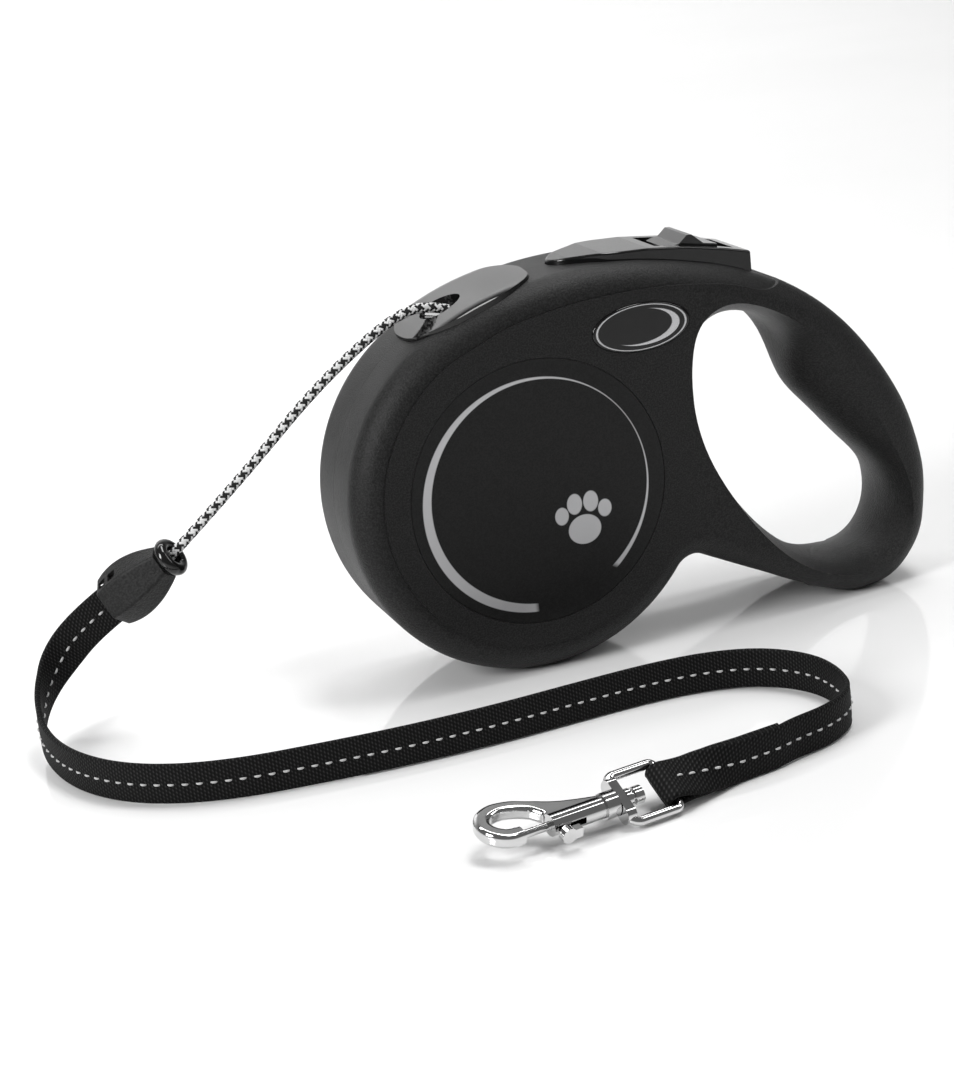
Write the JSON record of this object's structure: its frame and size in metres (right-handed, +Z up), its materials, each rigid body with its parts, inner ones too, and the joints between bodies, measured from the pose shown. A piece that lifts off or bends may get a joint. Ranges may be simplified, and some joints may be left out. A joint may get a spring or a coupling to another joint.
{
  "type": "retractable dog leash",
  "caption": "Retractable dog leash: flat rounded case with a loop grip and brake button, reel inside, cord out of the nozzle, connector, tape and swivel snap hook.",
  "frame": {"origin": "on the floor under the middle of the case's length, in the parting plane", "axes": "+Z up; +X along the case from the nozzle end to the grip; -Y towards the front label and the tape lying on the floor"},
  "size_m": [0.2529, 0.1441, 0.1073],
  "materials": {
    "shell": "fine-grained matte",
    "gloss": "gloss",
    "label": "satin print",
    "metal": "plain",
    "chrome": "polished",
    "reel": "moulded",
    "cord": "braided",
    "tape": "woven",
    "connector": "moulded",
    "ring": "glossy"
  },
  "bodies": {
    "case": {"housing_front": "shell", "housing_rear": "shell", "housing_screws": "metal", "nozzle": "gloss", "label_front": "label", "label_rear": "label", "badge_front": "gloss", "badge_rear": "gloss", "button_pin": "metal", "button_spring": "metal", "pawl_pin": "metal", "drum_axle": "metal", "power_spring": "metal", "spring_cassette": "reel", "cassette_cover": "reel", "leash_cord": "cord", "stop_ring": "ring", "connector_shell": "connector", "connector_core": "connector", "leash_tape": "tape", "swivel_ring": "chrome"},
    "button": {"brake_button": "gloss"},
    "lock": {"lock_slider": "gloss"},
    "pawl": {"brake_pawl": "reel"},
    "reel": {"cord_drum": "reel", "cord_winding": "cord"},
    "hook": {"hook_body": "chrome", "swivel_rivet": "chrome", "bolt_spring": "metal"},
    "bolt": {"hook_bolt": "chrome"}
  },
  "joints": [
    {"name": "button_press", "type": "hinge", "parent": "case", "child": "button", "pos_m": [-0.012, 0, 0.102], "axis": [0, 1, 0], "range_deg": [0, 3.4], "stiffness_Nm_per_rad": 0.6, "springref_deg": -3.44, "deforming": ["button_spring"]},
    {"name": "lock_slide", "type": "slide", "parent": "button", "child": "lock", "axis": [0.9867, 0, -0.1623], "range_m": [0, 0.004]},
    {"name": "pawl_swing", "type": "hinge", "parent": "case", "child": "pawl", "pos_m": [0.01, 0, 0.095], "axis": [0, 1, 0], "range_deg": [-4.1, 0]},
    {"name": "reel_spin", "type": "hinge", "parent": "case", "child": "reel", "pos_m": [-0.034, 0, 0.05], "axis": [0, 1, 0], "continuous": true},
    {"name": "hook_swivel", "type": "hinge", "parent": "case", "child": "hook", "pos_m": [-0.0844, -0.1201, 0.0055], "axis": [0.9848, 0.1736, 0], "continuous": true},
    {"name": "bolt_slide", "type": "slide", "parent": "hook", "child": "bolt", "axis": [0.9848, 0.1736, 0], "range_m": [0, 0.005], "stiffness_N_per_m": 300, "springref_m": -0.003}
  ],
  "couplings": [
    {"joint": "pawl_swing", "follows": "button_press", "ratio": -1.2}
  ]
}
